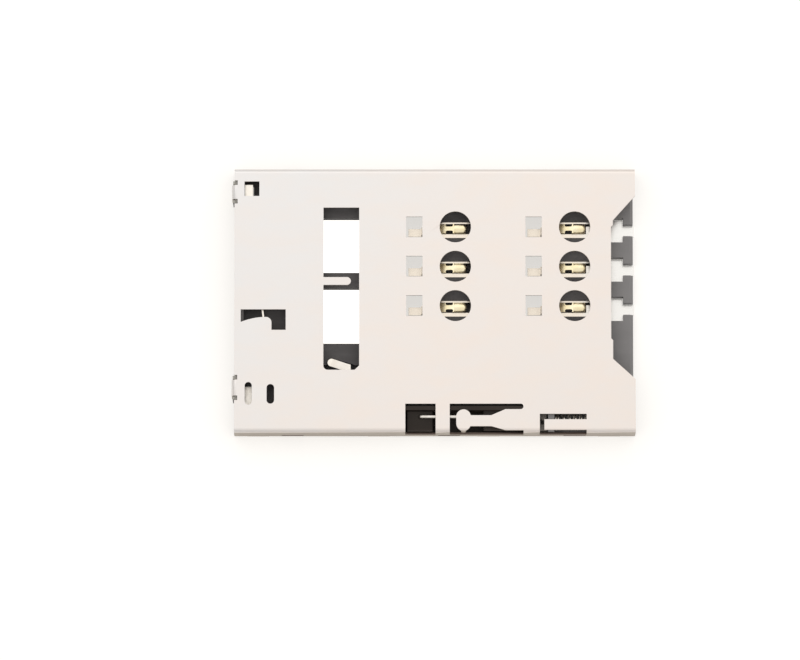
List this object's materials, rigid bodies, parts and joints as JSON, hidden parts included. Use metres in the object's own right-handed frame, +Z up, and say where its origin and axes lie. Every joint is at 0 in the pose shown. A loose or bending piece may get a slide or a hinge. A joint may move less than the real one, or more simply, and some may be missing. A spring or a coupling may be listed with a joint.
{
  "type": "sim card connector",
  "caption": "Flat push-push connector for a mini SIM card: folded steel shield over a black housing with gold spring contacts and a sprung card slider.",
  "frame": {"origin": "on the circuit board under the middle of the connector's box", "axes": "+X towards the card's mouth, +Y towards the side that guides the card's long edge, +Z up from the board"},
  "size_m": [0.0258, 0.017, 0.0019],
  "materials": {
    "sheet_steel": "bright rolled stainless sheet, nickel toned",
    "black_plastic": "moulded heat-proof plastic, fine matt grain",
    "slider_plastic": "moulded plastic, slightly smoother than the housing",
    "gold_plate": "thin gold plate on bronze strip, nickel toned at the tails",
    "spring_wire": "drawn stainless spring wire",
    "spring_strip": "rolled spring strip, thinly plated"
  },
  "bodies": {
    "base": {"shield": "sheet_steel", "housing": "black_plastic", "contact_c1": "gold_plate", "contact_c2": "gold_plate", "contact_c3": "gold_plate", "contact_c5": "gold_plate", "contact_c6": "gold_plate", "contact_c7": "gold_plate", "ejector_spring": "spring_wire", "switch_spring": "spring_strip", "switch_terminal": "spring_strip", "card_brake_spring": "spring_strip"},
    "card_slider": {"slider": "slider_plastic"},
    "follower": {"cam_pin": "spring_wire"}
  },
  "joints": [
    {"name": "slider_travel", "type": "slide", "parent": "base", "child": "card_slider", "axis": [-1, 0, 0], "range_m": [0, 0.0028], "stiffness_N_per_m": 200, "springref_m": -0.0025, "deforming": ["ejector_spring"]},
    {"name": "follower_turn", "type": "hinge", "parent": "base", "child": "follower", "pos_m": [-0.00088, -0.00743, 0.0012], "axis": [0, 0, 1], "range_deg": [-4.2, 0]}
  ],
  "couplings": [
    {"joint": "follower_turn", "follows": "slider_travel", "rad_per_m": -25.16}
  ]
}
